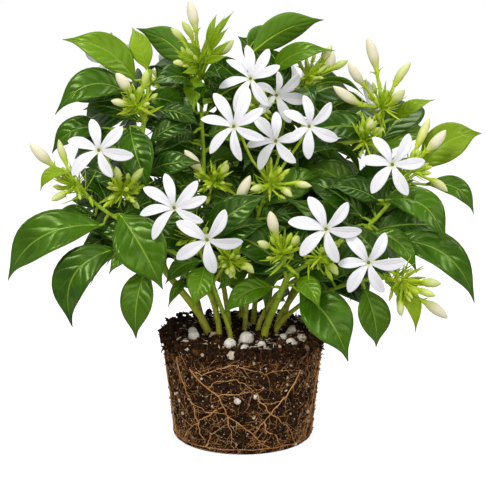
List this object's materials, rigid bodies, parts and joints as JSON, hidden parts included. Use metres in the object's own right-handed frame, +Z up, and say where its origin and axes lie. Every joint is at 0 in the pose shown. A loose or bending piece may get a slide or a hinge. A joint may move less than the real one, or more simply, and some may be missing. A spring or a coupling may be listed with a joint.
{
  "type": "star jasmine plant with bare root ball",
  "caption": "Flowering star jasmine plant with opposite glossy leaves, white pinwheel blooms and cream buds, standing on its bare, pot-shaped root ball.",
  "frame": {"origin": "middle of the root ball's flat base, on the surface that it stands on", "axes": "+Z up the plant, -Y towards the front of the picture, +X to its right"},
  "size_m": [0.2602, 0.2049, 0.2431],
  "materials": {
    "soil": "dark crumbly potting mix, matte",
    "root": "tan, fibrous, matte",
    "leaf": "deep green, waxy gloss with lighter veins",
    "fresh_green": "yellow-green new growth, soft satin, cream buds",
    "petal": "white, soft and matte"
  },
  "bodies": {
    "root": {"bloom_01": "petal", "bloom_02": "petal", "bloom_03": "petal", "bloom_04": "petal", "bloom_05": "petal", "bloom_06": "petal", "bloom_07": "petal", "bloom_08": "petal", "bloom_09": "petal", "bloom_10": "petal", "bloom_11": "petal", "bloom_12": "petal", "bloom_13": "petal", "bloom_14": "petal", "bloom_15": "petal", "bloom_16": "petal", "bloom_17": "petal", "bloom_18": "petal", "root_ball": "soil", "root_net": "root", "spray_back_1": "fresh_green", "spray_back_2": "fresh_green", "spray_back_3": "fresh_green", "spray_back_4": "fresh_green", "spray_back_5": "fresh_green", "spray_behind": "fresh_green", "spray_centre": "fresh_green", "spray_centre_bud": "fresh_green", "spray_far_left": "fresh_green", "spray_front": "fresh_green", "spray_front_low": "fresh_green", "spray_left": "fresh_green", "spray_low_front": "fresh_green", "spray_mid_left": "fresh_green", "spray_right_front": "fresh_green", "spray_right_low": "fresh_green", "spray_right_mid": "fresh_green", "spray_right_out": "fresh_green", "spray_right_top": "fresh_green", "spray_top": "fresh_green", "spray_upper_left": "fresh_green", "spray_upper_right": "fresh_green", "stem_back_1": "leaf", "stem_back_2": "leaf", "stem_back_3": "leaf", "stem_back_4": "leaf", "stem_back_5": "leaf", "stem_centre": "leaf", "stem_centre_left": "leaf", "stem_front": "leaf", "stem_left": "leaf", "stem_left_low": "leaf", "stem_right": "leaf", "stem_right_front": "leaf", "stem_right_low": "leaf", "stem_right_out": "leaf", "stem_top_right": "leaf"}
  },
  "joints": []
}
